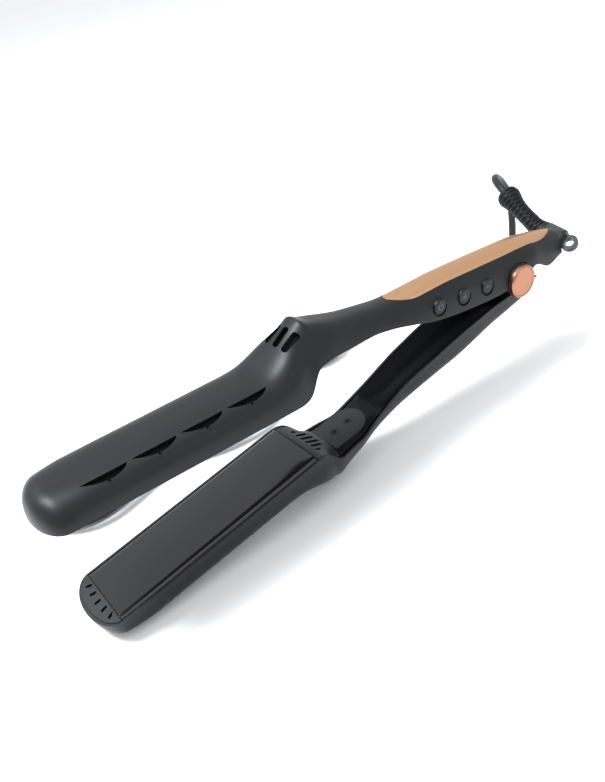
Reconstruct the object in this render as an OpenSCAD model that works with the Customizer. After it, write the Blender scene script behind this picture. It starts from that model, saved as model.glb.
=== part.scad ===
// Flat iron for hair: two hinged arms with wide floating plates, moulded shells, a control
// handle with three buttons, and a mains cord on a swivel with a hanging loop.
// Each arm is drawn in its own frame: X runs from the hinge axis toward the tips, Z points to
// the arm's crown, and the plates of the closed arms meet in the plane Z = 0. The lower arm is
// then turned over. The finished iron lies on its lower arm, open, tips at -X, on Z = 0.

/* [Plates] */
// Width of a heating plate
plate_w = 35; // [31:0.5:38]
// Length of a heating plate
plate_l = 110; // [96:1:120]
// Thickness of a heating plate
plate_t = 2.4; // [2:0.1:3]
// Width of the rolled band along a plate's long edges
roll_w = 3.2; // [1.5:0.1:4]
// Drop of the rolled band
roll_h = 1.7; // [0.8:0.1:1.9]
// Gap between the plates when the arms are closed
plate_gap = 0.3; // [0.2:0.1:0.8]
// How far a floating plate can be pushed in
plate_travel = 0.6; // [0.3:0.1:0.8]
// Clearance around a plate
plate_clear = 0.35; // [0.25:0.05:0.6]

/* [Heaters] */
// Width of a heater bar
heater_w = 14; // [10:0.5:18]
// Length of a heater bar
heater_l = 72; // [50:1:88]
// Thickness of a heater bar
heater_t = 2.6; // [2:0.1:2.8]
// Sheet thickness of a heater clip
clip_t = 0.8; // [0.6:0.1:1]
// Thickness of a cushion under a plate
cushion_t = 1.4; // [1:0.1:1.5]

/* [Shells] */
// Wall of the crowns and covers
wall = 1.6; // [1.3:0.1:1.8]
// Wall of a shell's sides
side_wall = 1.2; // [1:0.1:1.4]
// Height of a barrel near its tip, from the plane of the plates
barrel_h = 14; // [13.5:0.5:17]
// Height of a barrel at its rear
barrel_rear_h = 15.5; // [15:0.5:18]
// Length of the rounded end past the plate
tip_l = 10; // [9:0.5:12]
// Height of the shoulder crest
crest_h = 33; // [30:0.5:36]
// Distance of the shoulder crest behind the plate
crest_back = 14; // [13:0.5:16]
// Height of a shell's edge over the plane of the plates
edge_h = 1.2; // [0.9:0.1:1.5]
// Clearance between a shell and the covers in it
fit_gap = 0.15; // [0.1:0.05:0.25]

/* [Handles] */
// Distance from the hinge axis to the plates
hinge_to_plate = 151; // [142:1:162]
// Width of the handles
handle_w = 26; // [25:0.5:28]
// Width of the necks behind the shoulders
neck_w = 22.5; // [21:0.5:24.5]
// Height of the upper handle at the grip
upper_grip_h = 21.5; // [20.5:0.5:24]
// Height of the lower handle at the grip
lower_grip_h = 19.2; // [18:0.5:20.5]
// Length of the upper handle behind the hinge axis
tail_l = 39; // [37:1:44]
// Angle between the arms at rest
open_angle = 11.5; // [8:0.5:14]

/* [Hinge] */
// Diameter of the hinge pin
pin_d = 5; // [4:0.5:6]
// Diameter of the lower arm's ears
ear_d = 18.6; // [17:0.2:19]
// Diameter of the round caps over the ears
cap_d = 18; // [15:0.2:19]
// Thickness of a cap
cap_t = 2.4; // [1.6:0.1:2.8]
// Height of the hinge axis over the plane of the plates
hinge_rise = 1; // [0.5:0.25:1.5]
// Radial running clearance of the hinge pin
pin_clear = 0.06; // [0.03:0.01:0.1]
// Running clearance around the ears
ear_clear = 0.4; // [0.3:0.05:0.6]

/* [Buttons] */
// Diameter of a button
button_d = 8; // [6.6:0.2:8.6]
// Distance between the buttons
button_pitch = 17.2; // [15:0.2:18]
// Travel of a button
button_travel = 0.5; // [0.3:0.05:0.6]

/* [Trim] */
// Width of the metallic inlay on the handle
trim_w = 15; // [10:0.5:17]
// Depth of the inlay's bed in the shell
trim_depth = 0.8; // [0.5:0.1:0.9]

/* [Vents] */
// Number of vents on each side of a barrel
vent_count = 4; // [2:1:4]
// Length of a vent
vent_l = 20.5; // [14:0.5:21]
// Drop of a vent's curved edge
vent_drop = 3.5; // [2:0.1:4]
// Distance between vents
vent_pitch = 22.3; // [22:0.1:23]

/* [Swivel and cord] */
// Diameter of the swivel's barrel
barrel_d = 8; // [7:0.2:9]
// Wall of the collar around the barrel
collar_wall = 1.7; // [1.4:0.1:2]
// Radial running clearance of the barrel
barrel_clear = 0.08; // [0.04:0.01:0.1]
// Diameter of the hanging loop's hole
loop_hole_d = 4.8; // [4:0.2:5.6]
// Diameter of the hanging loop
loop_d = 9.4; // [8.8:0.2:11]
// Diameter of the cord
cord_d = 4.6; // [4.2:0.1:5]

/* [Hidden] */
$fn = 48;

// stations along an arm
u_rear = hinge_to_plate;
u_front = u_rear + plate_l;
u_tip = u_front + tip_l;
u_crest = u_rear - crest_back;
barrel_hw = plate_w / 2 + plate_clear + side_wall;
handle_hw = handle_w / 2;
neck_hw = neck_w / 2;
tail_hw = handle_hw - 4;

// sizes of the swivel
barrel_r = barrel_d / 2;
collar_r = barrel_r + collar_wall;
swivel_back = 5.5;
swivel_z = 7.8;

// heights inside a barrel
plate_low = plate_gap / 2;
plate_top = plate_low + plate_t;
clip_top = plate_top + heater_t + clip_t;
cushion_low = clip_top + plate_travel + 0.1;
web_low = cushion_low + cushion_t;
web_t = 1.2;

// sizes at the hinge
ear_r = ear_d / 2;
pin_r = pin_d / 2;
ear_in = handle_hw - 2.8;
ear_out = handle_hw + 0.15;
lower_end_r = lower_grip_h - 3.4 + hinge_rise;

// half width of an arm at each station
half_w_table = [[-tail_l, tail_hw], [-30, handle_hw - 1.6], [-10, handle_hw - 0.2], [0, handle_hw],
    [55, handle_hw], [u_crest - 64, handle_hw - 0.6], [u_crest - 46, neck_hw],
    [u_crest - 25, neck_hw + 1.2], [u_crest - 13, neck_hw + 3], [u_crest, barrel_hw - 2.7],
    [u_rear - 9, barrel_hw - 1.7], [u_rear - 5.5, barrel_hw - 0.2], [u_rear - 3.5, barrel_hw],
    [u_tip, barrel_hw]];

// crown heights of the shoulder and barrel, the same on both arms
barrel_table = [[u_crest - 5, crest_h - 3], [u_crest, crest_h], [u_crest + 4, crest_h - 3],
    [u_rear - 1, crest_h - 9.5], [u_rear + 5, barrel_rear_h + 3.4], [u_rear + 11, barrel_rear_h + 0.3],
    [u_rear + 17, barrel_rear_h], [u_front - 8, barrel_h], [u_front, barrel_h - 0.7]];
upper_crown_table = concat([[-tail_l, upper_grip_h - 8], [-28, upper_grip_h - 5.2],
    [-6, upper_grip_h - 2.2], [17, upper_grip_h - 0.9], [50, upper_grip_h],
    [u_crest - 52, upper_grip_h - 1], [u_crest - 24, upper_grip_h + 3]], barrel_table);
lower_crown_table = concat([[0, lower_grip_h - 3.4], [24, lower_grip_h - 2.6], [45, lower_grip_h],
    [64, lower_grip_h + 0.2], [u_crest - 54, lower_grip_h + 1.4], [u_crest - 40, lower_grip_h + 2.4],
    [u_crest - 26, lower_grip_h + 4]], barrel_table);

// edge heights of the shoulder and barrel, the same on both arms
shoulder_edge_table = [[u_crest, edge_h + 12.3], [u_rear - 11, edge_h + 9.8],
    [u_rear - 8.5, edge_h + 4.8], [u_rear - 5, edge_h + 1.3], [u_rear, edge_h], [u_tip, edge_h]];
upper_edge_table = concat([[-tail_l, 2], [-35, 1.6], [-28, 0], [-23, 0.3], [-18, 3.5], [-13.5, 5.5],
    [-8, 4], [8, -0.6], [17, -1], [27, -0.6], [46, 1.1], [60, 3], [u_crest - 71, 4.2],
    [u_crest - 62, 6.8], [u_crest - 50, 9.8], [u_crest - 37, 12.2], [u_crest - 19, 13],
    [u_crest - 7, 14.2]], shoulder_edge_table);
lower_edge_table = concat([[-15.4, 6.7], [-12, 2.4], [0, 2.8], [8, 3], [23, 1.8], [39, 2], [55, 2.6],
    [66, 3.8], [u_crest - 61, 4.7], [u_crest - 50, 6.4], [u_crest - 38, 9.2], [u_crest - 27, 12],
    [u_crest - 17, 14.8], [u_crest - 8, 13.8]], shoulder_edge_table);

// height of the inner cover's middle at the shoulder, with its raised grille and panel seat
grille_table = [[u_crest - 9, 11.5], [u_crest - 2, 10], [u_rear - 10, 6], [u_rear - 3, 2.3],
    [u_rear - 1, edge_h - 0.2], [u_rear, edge_h - 0.2]];

// how far the crown leans in from the sides, and how square the crown is
lean_table = [[-tail_l, 0.12], [50, 0.12], [u_crest - 13, 0.3], [u_crest, 0.45],
    [u_rear - 10, 0.36], [u_rear - 2, 0.03], [u_rear - 0.5, 0]];
upper_square_table = [[-tail_l, 2.4], [50, 2.5], [u_crest - 20, 2.6], [u_rear + 10, 3.1], [u_tip, 3.1]];
lower_square_table = [[-20, 3.2], [60, 3.2], [u_crest - 20, 2.8], [u_crest, 3], [u_rear + 12, 4.5],
    [u_tip, 4.5]];

// a table's value, eased over a span that grows away from the crest
function ease(u) = min(7, 0.8 + abs(u - u_crest) / 3);
function soft(u, table, d) = (lookup(u - d, table) + 2 * lookup(u, table) + lookup(u + d, table)) / 4;
function half_w(u) = soft(u, half_w_table, ease(u));
function crown(arm, u) = soft(u, arm == "upper" ? upper_crown_table : lower_crown_table, ease(u));
function edge(arm, u) = soft(u, arm == "upper" ? upper_edge_table : lower_edge_table, min(2, ease(u)));
function lean(u) = lookup(u, lean_table);
function square_of(arm, u) = lookup(u, arm == "upper" ? upper_square_table : lower_square_table);

// one cross-section of an arm: from one edge over the crown to the other edge
function arch(arm, u, hw, low, high, steps) = let (n = square_of(arm, u), k = lean(u))
    [for (i = [0:steps]) let (a = 180 * i / steps, s = pow(abs(sin(a)), 2 / n),
        c = sign(cos(a)) * pow(abs(cos(a)), 2 / n)) [u, hw * (1 - k * s) * c, low + (high - low) * s]];

// height of the crown over a point that lies y off the middle
function crown_over(arm, u, y) = let (n = square_of(arm, u), k = lean(u), low = edge(arm, u),
    s0 = pow(1 - pow(abs(y) / (half_w(u) * (1 - k)), n), 1 / n),
    s1 = pow(1 - pow(abs(y) / (half_w(u) * (1 - k * s0)), n), 1 / n))
    low + (crown(arm, u) - low) * s1;

// half width of a section at a height
function width_at(u, hw, low, high, z) = let (n = square_of("upper", u), s = (z - low) / (high - low))
    hw * (1 - lean(u) * s) * pow(1 - pow(s, n), 1 / n);

// half width of the room inside a shell at a height, for a cover that slides in
function room(arm, u, z) = let (n = square_of(arm, u), low = edge(arm, u) - 2,
    s = (z - low) / (crown(arm, u) - wall - low))
    (half_w(u) - side_wall) * (1 - lean(u) * s) * pow(1 - pow(s, n), 1 / n) - 0.1 - fit_gap;

// stations of the lofts
upper_tail_u = [-tail_l, -tail_l + 3, -32, -28, -23, -18, -13, -8, 0, 8];
lower_tail_u = [0, 8];
grip_u = [17, 28, 38, 50, 60];
neck_u = [for (d = [-60, -50, -42, -34, -28, -22, -17, -12, -7, -3.5, -1.5, 0, 1.5]) u_crest + d];
shoulder_u = [for (d = [-10.5, -8.5, -6.5, -4, -1.5, 1.5, 4.5, 8, 12, 18]) u_rear + d];
barrel_u = [u_rear + 45, u_front - 28, u_front - 12, u_front - 5, u_front];
tip_a = [18, 34, 48, 60, 71, 80];

// solid skin over a list of rings that have the same number of points
module skin(rings) {
    n = len(rings[0]);
    m = len(rings);
    sides = [for (k = [0:m - 2], i = [0:n - 1]) let (a = k * n + i, b = k * n + (i + 1) % n)
        each [[a, a + n, b], [b, a + n, b + n]]];
    first = [for (i = [0:n - 1]) i];
    last = [for (i = [n - 1:-1:0]) (m - 1) * n + i];
    polyhedron(points = [for (r = rings) each r], faces = concat(sides, [first], [last]));
}

// the rings of an arm's outer form, or of a form inside it
function form_rings(arm, inset, top_inset, below, tip_inset, steps) =
    let (us = concat(arm == "upper" ? upper_tail_u : lower_tail_u, grip_u, neck_u, shoulder_u, barrel_u),
        end_a = arm == "upper" ? [] : [62, 52, 40, 28, 14], r = lower_end_r - top_inset)
    concat(
        [for (a = end_a) let (u = -r * sin(a)) arch(arm, u, half_w(u) - inset - 1.4 * pow(sin(a), 4),
            edge(arm, u) - below, r * cos(a) - hinge_rise, steps)],
        [for (u = us) arch(arm, u, half_w(u) - inset, edge(arm, u) - below, crown(arm, u) - top_inset, steps)],
        [for (a = tip_a) let (u = u_front + (tip_l - tip_inset) * sin(a)) arch(arm, u,
            (barrel_hw - inset) * cos(a), edge_h - below,
            edge_h + (crown(arm, u_front) - top_inset - edge_h) * pow(cos(a), 0.6), steps)]);

module outer_form(arm) skin(form_rings(arm, 0, 0, 0, 0, 18));
module inner_form(arm) skin(form_rings(arm, side_wall, wall, 2, wall, 12));

// a strip that lies between the edges of an arm, its middle at the height mid(u)
function strip_ring(u, hw, low, mid, thick, power, steps) = let (
    ys = [for (i = [0:steps]) -1 + 2 * i / steps], rise = mid - low)
    concat([for (y = ys) [u, hw * y, low + rise * (1 - pow(abs(y), power))]],
        [for (i = [steps:-1:0]) let (y = ys[i]) [u, hw * y, low + thick + rise * (1 - pow(abs(y), power))]]);

// where the iron lies: the floor touches the lower crest and the lower tip
sole_cut = 0.3;
lower_side = concat([for (a = [0, 8, 14, 20, 26]) [u_front + tip_l * sin(a),
    edge_h + (crown("lower", u_front) - edge_h) * pow(cos(a), 0.6)]]);
crest_top = crown("lower", u_crest);
lie_slope = min([for (p = lower_side) (crest_top - p[1]) / (p[0] - u_crest)]);
lie_angle = atan(lie_slope);
hinge_h = (hinge_rise + crest_top + lie_slope * u_crest) * cos(lie_angle) - sole_cut;
lean_back = open_angle - lie_angle;
hinge_x = ((u_front + tip_l * sin(80) - tail_l - swivel_back) * cos(lean_back)
    - (swivel_z - hinge_rise) * sin(lean_back) - collar_r) / 2;

module upper_arm()
    translate([hinge_x, 0, hinge_h]) rotate([0, lean_back, 0])
        translate([0, 0, -hinge_rise]) mirror([1, 0, 0]) children();
module lower_arm()
    translate([hinge_x, 0, hinge_h]) rotate([0, -lie_angle, 0])
        translate([0, 0, -hinge_rise]) rotate([0, 180, 0]) children();

// a cylinder along Y
module y_rod(r, y0, y1) translate([0, y0, 0]) rotate([-90, 0, 0]) cylinder(r = r, h = y1 - y0);

// both ends of a thing that is mirrored side to side
module both_sides() {
    children();
    mirror([0, 1, 0]) children();
}

// ---- barrel pieces, the same in both arms ----

module plate() {
    hw = plate_w / 2;
    flat = hw - roll_w;
    roll = [for (a = [0:15:90]) [flat + roll_w * sin(a), plate_low + roll_h * (1 - cos(a))]];
    translate([u_rear + plate_l, 0, 0]) rotate([90, 0, -90])
        linear_extrude(plate_l - plate_clear)
            polygon(concat(roll, [[hw, plate_top], [-hw, plate_top]],
                [for (i = [len(roll) - 1:-1:0]) [-roll[i][0], roll[i][1]]]));
}

module heater()
    translate([(u_rear + u_front - heater_l) / 2, -heater_w / 2, plate_top])
        cube([heater_l, heater_w, heater_t]);

module clip() {
    clip_l = heater_l - 6;
    foot = 4;
    start = (u_rear + u_front - clip_l) / 2;
    outer_w = heater_w + 2 * clip_t + 0.2;
    difference() {
        union() {
            translate([start, -outer_w / 2, plate_top]) cube([clip_l, outer_w, heater_t + clip_t]);
            translate([start, -outer_w / 2 - foot, plate_top])
                cube([clip_l, outer_w + 2 * foot, clip_t]);
        }
        translate([start - 1, -heater_w / 2 - 0.1, plate_top - 1])
            cube([clip_l + 2, heater_w + 0.2, heater_t + 1]);
    }
}

cushion_u = [u_rear + plate_l * 0.3, u_rear + plate_l * 0.7];
module cushions()
    for (u = cushion_u) translate([u - 4, -6, cushion_low]) cube([8, 12, cushion_t]);

shield_gap = 0.5;
shield_t = 0.6;
shield_low = plate_top + plate_travel + 0.6;
module shield() {
    us = [u_rear + 12, u_rear + 18, u_rear + 45, u_front - 28, u_front - 12, u_front - 4];
    hw = barrel_hw - side_wall - shield_gap;
    difference() {
        skin([for (u = us) arch("upper", u, hw, edge_h - 2, crown("upper", u) - wall - shield_gap, 12)]);
        skin([for (u = concat([us[0] - 1], us, [u_front])) arch("upper", u, hw - shield_t, edge_h - 3,
            crown("upper", u) - wall - shield_gap - shield_t, 12)]);
        translate([u_rear, -plate_w, shield_low - 20]) cube([plate_l, 2 * plate_w, 20]);
    }
}

// the moulding that carries the plate: tip cap with slots, web and rear grille
cap_slot_l = 3.4;
cap_slot_w = 1.5;
module frame() {
    inner_hw = barrel_hw - side_wall - fit_gap;
    cap_l = tip_l - wall - fit_gap;
    cap_start = u_front + plate_clear;
    web_hw = width_at(u_front, barrel_hw - side_wall - shield_gap - shield_t, edge_h - 2,
        crown("upper", u_front) - wall - shield_gap - shield_t, web_low + web_t) - 0.5;
    rear = u_rear - plate_clear;
    us = [u_crest + 0.6, u_crest + 2, u_rear - 10.5, u_rear - 8.5, u_rear - 6.5, u_rear - 4, u_rear - 2.5,
        u_rear - 1.2, rear];
    // tip cap
    difference() {
        translate([0, 0, edge_h - 0.4]) linear_extrude(wall)
            polygon(concat([for (a = [-90:7.5:90]) [u_front + max(plate_clear, cap_l * cos(a)),
                inner_hw * sin(a)]]));
        for (i = [-2:2]) translate([u_front, i * 5, 0]) rotate([0, 0, i * 14])
            translate([cap_l - 5.6 - abs(i) * 0.35, 0, -1]) {
                translate([0, -cap_slot_w / 2, 0]) cube([cap_slot_l - cap_slot_w, cap_slot_w, 6]);
                cylinder(d = cap_slot_w, h = 6, $fn = 16);
                translate([cap_slot_l - cap_slot_w, 0, 0]) cylinder(d = cap_slot_w, h = 6, $fn = 16);
            }
    }
    // web over the plate, with an end wall at each end
    difference() {
        translate([rear - 1.4, -web_hw, edge_h + 0.2])
            cube([u_front - rear + 2.8 + plate_clear, 2 * web_hw, web_low + web_t - edge_h - 0.2]);
        translate([rear - 0.2, -web_hw - 1, 0])
            cube([u_front + plate_clear - rear + 0.2, 2 * web_hw + 2, web_low]);
    }
    // rear grille
    difference() {
        skin([for (u = us) strip_ring(u, room("upper", u, edge("lower", u) + wall), edge("lower", u) + 0.1,
            min(edge("lower", u), lookup(u, grille_table)), wall, 4, 10)]);
        for (y = [-10:4:14]) translate([0, y, -5]) {
            l = min(6.5, (13 - abs(y)) * 0.8);
            if (y < 13) translate([u_rear - 4.5 - l, -0.95, 0]) cube([l, 1.9, 30]);
        }
    }
}

// ---- upper arm ----

// an eyelid: a straight edge along the crown's side, a curved edge below it, a small tooth in it
vent_r = (pow(vent_l / 2, 2) + pow(vent_drop, 2)) / (2 * vent_drop);
vent_first = u_rear + 23;
vent_y = 11.4;
vent_tilt = 32;
module vents()
    both_sides() for (i = [0:vent_count - 1]) {
        u = vent_first + i * vent_pitch;
        translate([u, vent_y, crown_over("upper", u, vent_y)]) rotate([-vent_tilt, 0, 0]) {
            intersection() {
                translate([0, vent_drop - vent_r, -2.6]) cylinder(r = vent_r, h = 6);
                translate([-vent_l, 0, -3]) cube([2 * vent_l, 8, 7]);
            }
            translate([-1.4, vent_drop - 1, -2.6]) cube([1.6, 2, 6]);
        }
    }

slot_pitch = 6.4;
slot_w = 4;
slot_l = 10.5;
slot_tilt = 35;
module shoulder_slots()
    for (i = [-1:1]) translate([u_crest + 8.3, i * slot_pitch, crest_h - 6])
        rotate([0, slot_tilt, 0]) {
            translate([-slot_l / 2 + 1.2, -slot_w / 2, -7]) cube([slot_l - 2.4, slot_w, 14]);
            translate([-slot_l / 2, -slot_w / 2 + 1.2, -7]) cube([slot_l, slot_w - 2.4, 14]);
            for (x = [-1, 1], y = [-1, 1]) translate([x * (slot_l / 2 - 1.2), y * (slot_w / 2 - 1.2), -7])
                cylinder(r = 1.2, h = 14, $fn = 16);
        }

// inlay outline and the strip that follows the crown
trim_end = 84;
trim_tip = -37.5;
function trim_half(u) = trim_w / 2 * (u > trim_end - 16
    ? sqrt(max(0.02, 1 - pow((u - trim_end + 16) / 16, 2)))
    : u < -8 ? 1 - 0.97 * pow((-8 - u) / (-8 - trim_tip), 1.7) : 1);
trim_u = [trim_tip, -34, -29, -24, -18, -12, -6, 2, 12, 24, 36, 48, 58, 66, 71, 75, 79, 82, trim_end];
module trim_strip(up, down, grow)
    skin([for (u = trim_u) let (w = trim_half(u) + grow,
        us = u == trim_u[0] ? u - grow : u == trim_end ? u + grow : u,
        ys = [for (i = [0:6]) w * (i / 3 - 1)])
        concat([for (y = ys) [us, y, crown_over("upper", u, y) - down]],
            [for (i = [6:-1:0]) [us, ys[i], crown_over("upper", u, ys[i]) + up]])]);

button_u = 24.7;
button_z = 7.2;
button_slope = 0.072;
function button_at(i) = [button_u + i * button_pitch, 0, button_z + i * button_pitch * button_slope];
button_face = handle_hw - 0.35;

module upper_shell() color("#2e3032") upper_arm() difference() {
    outer_form("upper");
    inner_form("upper");
    vents();
    shoulder_slots();
    trim_strip(3, trim_depth, 0.1);
    for (i = [0:2]) translate(button_at(i)) {
        y_rod(button_d / 2 + 0.15, -20, 0);
        y_rod(button_d / 2 + 0.9, -20, -button_face + 0.25);
    }
    translate([0, 0, hinge_rise]) both_sides() y_rod(ear_r + ear_clear, ear_in - 0.3, 20);
}

module upper_frame() color("#1d1e20") upper_arm() frame();
module upper_plate() color("#1a1a1c") upper_arm() plate();
module upper_heater() color("#e8e4da") upper_arm() heater();
module upper_clip() color("#b9bcc0") upper_arm() clip();
module upper_cushions() color("#c8553a") upper_arm() cushions();
module upper_shield() color("#141415") upper_arm() shield();

// screws that hold an inner cover: counter-sunk heads
screw_r = 1.1;
screw_head_r = 2.2;
screw_l = 9;
screw_u = [u_crest - 17, u_crest - 8];
module screws(face) for (u = screw_u) translate([u, 0, face]) difference() {
    union() {
        cylinder(r1 = screw_head_r, r2 = screw_r, h = 1.2, $fn = 32);
        cylinder(r = screw_r, h = screw_l, $fn = 32);
    }
    for (a = [0, 90]) rotate([0, 0, a]) translate([-1.3, -0.25, -0.1]) cube([2.6, 0.5, 0.7]);
}
module screw_sinks(face) for (u = screw_u) translate([u, 0, face]) {
    translate([0, 0, -5]) cylinder(r = screw_head_r + 0.1, h = 5, $fn = 32);
    cylinder(r1 = screw_head_r + 0.1, r2 = screw_r + 0.1, h = 1.2, $fn = 32);
    cylinder(r = screw_r + 0.05, h = screw_l + 0.3, $fn = 32);
}

upper_face = edge("upper", u_crest - 12) + 0.9;
// the cover swells down between the ears to house the pin
knuckle_table = [[-26, 9], [-14, -2.2], [-8, -4.5], [8, -4.5], [16, -3.2], [28, 1.5], [30, 30]];
knuckle_r = 5.4;
knuckle_in = 5.6;
post_u = 11;
module upper_cover() {
    us = concat([-tail_l + 6, -28, -23, -19, -16, -12, -8, 0, 8, 12, 17, 22, 28, 38, 50, 60],
        [for (d = [-60, -50, -42, -34, -28, -22, -17, -12, -7, -3.5, -1.5, 0.4]) u_crest + d]);
    color("#26282a") upper_arm() difference() {
        union() {
            skin([for (u = us) strip_ring(u, room("upper", u, edge("upper", u) + wall), edge("upper", u) + 0.05,
                min(edge("upper", u) + 0.5, lookup(u, knuckle_table)), wall, 6, 10)]);
            both_sides() {
                translate([0, 0, hinge_rise]) y_rod(knuckle_r, knuckle_in, ear_in - 0.3);
                translate([-4, knuckle_in, -3.2]) cube([8, ear_in - 0.3 - knuckle_in, hinge_rise + 3.2]);
            }
            translate([post_u, 1.6, -2]) cube([3, 4, hinge_rise + 8]);
            for (u = screw_u) translate([u, 0, upper_face]) cylinder(r = 3.2, h = screw_l + 1);
        }
        translate([0, 0, hinge_rise]) {
            both_sides() y_rod(ear_r + ear_clear, ear_in - 0.3, 20);
            y_rod(pin_r + pin_clear, -20, 20);
        }
        for (i = [0:2]) translate(button_at(i)) y_rod(button_d / 2 + 1, -20, -8.6);
        translate([2, -5.4, -6]) cube([post_u + 4, 3, 8]);
        translate([post_u - 1, 3.6, hinge_rise + spring_r]) rotate([0, 90, 0])
            cylinder(r = wire_r + 0.1, h = 6, $fn = 24);
        screw_sinks(upper_face);
    }
}
module upper_screws() color("#55585c") upper_arm() screws(upper_face);

module handle_trim() color("#d9a878") upper_arm() trim_strip(0.15, trim_depth - 0.05, 0);

// control board on edge behind the buttons, with its switches
board_y = -2.4;
switch_side = 4.5;
switch_face = -5.6;
module control_board() color("#2f6b46") upper_arm()
    translate([button_u - 8, board_y, button_z - 2.9]) rotate([0, -atan(button_slope), 0])
        cube([2 * button_pitch + 11, 1.4, 9.5]);
module switches() color("#3c3f44") upper_arm() for (i = [0:2]) translate(button_at(i)) {
    translate([-switch_side / 2, switch_face, -switch_side / 2])
        cube([switch_side, board_y - switch_face, switch_side]);
    y_rod(1.7, switch_face - 0.4, switch_face + 1);
}
flange_y = -handle_hw + side_wall + 4.3;
stem_end = switch_face - 0.4 - button_travel - 0.05;
module button(i) color("#232527") upper_arm() translate(button_at(i)) {
    y_rod(button_d / 2, -button_face, flange_y);
    y_rod(button_d / 2 + 0.5, flange_y - 0.6, flange_y);
    y_rod(1.6, flange_y - 0.1, stem_end);
}
module power_button() button(2);
module plus_button() button(1);
module minus_button() button(0);

// torsion spring around the pin: an open coil with a leg on each arm
wire_r = 0.5;
spring_r = pin_r + wire_r + 0.2;
spring_turns = 5;
spring_y = 3.6;
function spring_points() = let (a0 = 90, a1 = a0 + 360 * spring_turns + 180)
    concat([[post_u + 1.5, spring_y, spring_r], [post_u - 3, spring_y, spring_r]],
        [for (a = [a0:45:a1]) let (t = (a - a0) / (a1 - a0))
            [spring_r * cos(a), spring_y * (1 - 2 * t), spring_r * sin(a)]],
        [[4, -spring_y, -spring_r - 0.5], [13, -spring_y, -spring_r - 3.6]]);

function unit(v) = v / norm(v);
function across(n, t) = unit(n - t * (n * t));
function tangents(p) = [for (i = [0:len(p) - 1])
    unit(p[min(i + 1, len(p) - 1)] - p[max(i - 1, 0)])];
function carried(t, n, i) = i >= len(t) ? [] : let (m = across(n, t[i])) concat([m], carried(t, m, i + 1));
function tube_rings(p, radii, sides, start) = let (t = tangents(p), n = carried(t, start, 0))
    [for (i = [0:len(p) - 1]) let (b = cross(t[i], n[i])) [for (k = [0:sides - 1])
        let (a = 360 * k / sides) p[i] + radii[i] * (cos(a) * n[i] + sin(a) * b)]];

module hinge_spring() color("#9aa0a6") upper_arm() translate([0, 0, hinge_rise]) {
    p = spring_points();
    skin(tube_rings(p, [for (q = p) wire_r], 6, [0, 0, 1]));
}

// ---- swivel at the tail: a cross barrel that turns in a collar ----

swivel_at = [-tail_l - swivel_back, 0, swivel_z];
swivel_tilt = 12;
collar_half = 5;
flange_r = barrel_r + 0.9;
module at_swivel() translate(swivel_at) rotate([swivel_tilt, 0, 0]) children();
module swivel_collar() color("#3a403d") upper_arm() difference() {
    union() {
        hull() {
            at_swivel() y_rod(collar_r, -collar_half, collar_half, $fn = 32);
            skin([for (u = [-tail_l - 0.6, -tail_l - 0.1]) arch("upper", u, tail_hw - 0.2,
                edge("upper", -tail_l) + 0.3, crown("upper", -tail_l) - 0.3, 12)]);
        }
        skin([for (u = [-tail_l - 0.2, -tail_l + 5.5]) arch("upper", u, half_w(u) - side_wall - 1.2,
            edge("upper", u) + 0.3, crown("upper", u) - wall - 0.9, 12)]);
    }
    at_swivel() {
        y_rod(barrel_r + barrel_clear, -20, 20);
        y_rod(flange_r + 0.3, -20, -collar_half);
        y_rod(boot_r + 0.1, collar_half, 20);
    }
}

loop_y = -collar_half - 0.8 - loop_d / 2;
loop_turn = 35;
module swivel_barrel() color("#33383a") upper_arm() at_swivel() difference() {
    union() {
        y_rod(barrel_r, -collar_half - 0.3, collar_half - 0.3);
        y_rod(flange_r, -collar_half - 1.4, -collar_half - 0.2);
        rotate([0, loop_turn, 0]) translate([0, loop_y, -1.6]) {
            cylinder(d = loop_d, h = 3.2);
            translate([-barrel_r * 0.8, 0, 0]) cube([barrel_r * 1.6, loop_d / 2, 3.2]);
        }
    }
    rotate([0, loop_turn, 0]) translate([0, loop_y, -6]) cylinder(d = loop_hole_d, h = 12);
}

// bent boot with moulded ribs: slim in the middle, with a swollen end
boot_r = 5.5;
boot_root = swivel_at + (collar_half + 0.05) * [0, cos(swivel_tilt), sin(swivel_tilt)];
boot_bend = [boot_root - 5 * [0, cos(swivel_tilt), sin(swivel_tilt)], boot_root,
    for (d = [[0, 7, 7 * tan(swivel_tilt)], [0, 12.8, 4.9], [-0.2, 18.5, 8.4], [-0.7, 23.3, 11.4],
        [-1.5, 27.6, 13.8], [-2.7, 31.9, 15.6]]) boot_root + d];
boot_ribs = 10;
function spline(p, t) = let (k = min(floor(t), len(p) - 2), f = t - k, a = p[max(k - 1, 0)], b = p[k],
    c = p[k + 1], d = p[min(k + 2, len(p) - 1)])
    0.5 * (2 * b + (c - a) * f + (2 * a - 5 * b + 4 * c - d) * f * f + (3 * b - a - 3 * c + d) * f * f * f);
module strain_relief() {
    steps = 4 * boot_ribs;
    p = [for (i = [0:steps]) spline(boot_bend, 1 + (len(boot_bend) - 2) * i / steps)];
    r = [for (i = [0:steps]) let (t = i / steps) boot_r - 0.9 * sin(180 * min(1, t * 1.25))
        - (i % 4 > 1 ? 0.6 : 0) - (i == steps ? 0.8 : 0)];
    color("#1c1d1f") upper_arm() skin(tube_rings(p, r, 14, [1, 0, 0]));
}

// ---- cord: out of the boot, over and down to the floor, into a tied hank, then the plug ----

cord_r = cord_d / 2;
function from_upper(p) = [hinge_x - p[0] * cos(lean_back) + (p[2] - hinge_rise) * sin(lean_back), p[1],
    hinge_h + p[0] * sin(lean_back) + (p[2] - hinge_rise) * cos(lean_back)];
boot_end = from_upper(boot_bend[len(boot_bend) - 1]);
boot_way = unit(boot_end - from_upper(boot_bend[len(boot_bend) - 2]));

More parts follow.
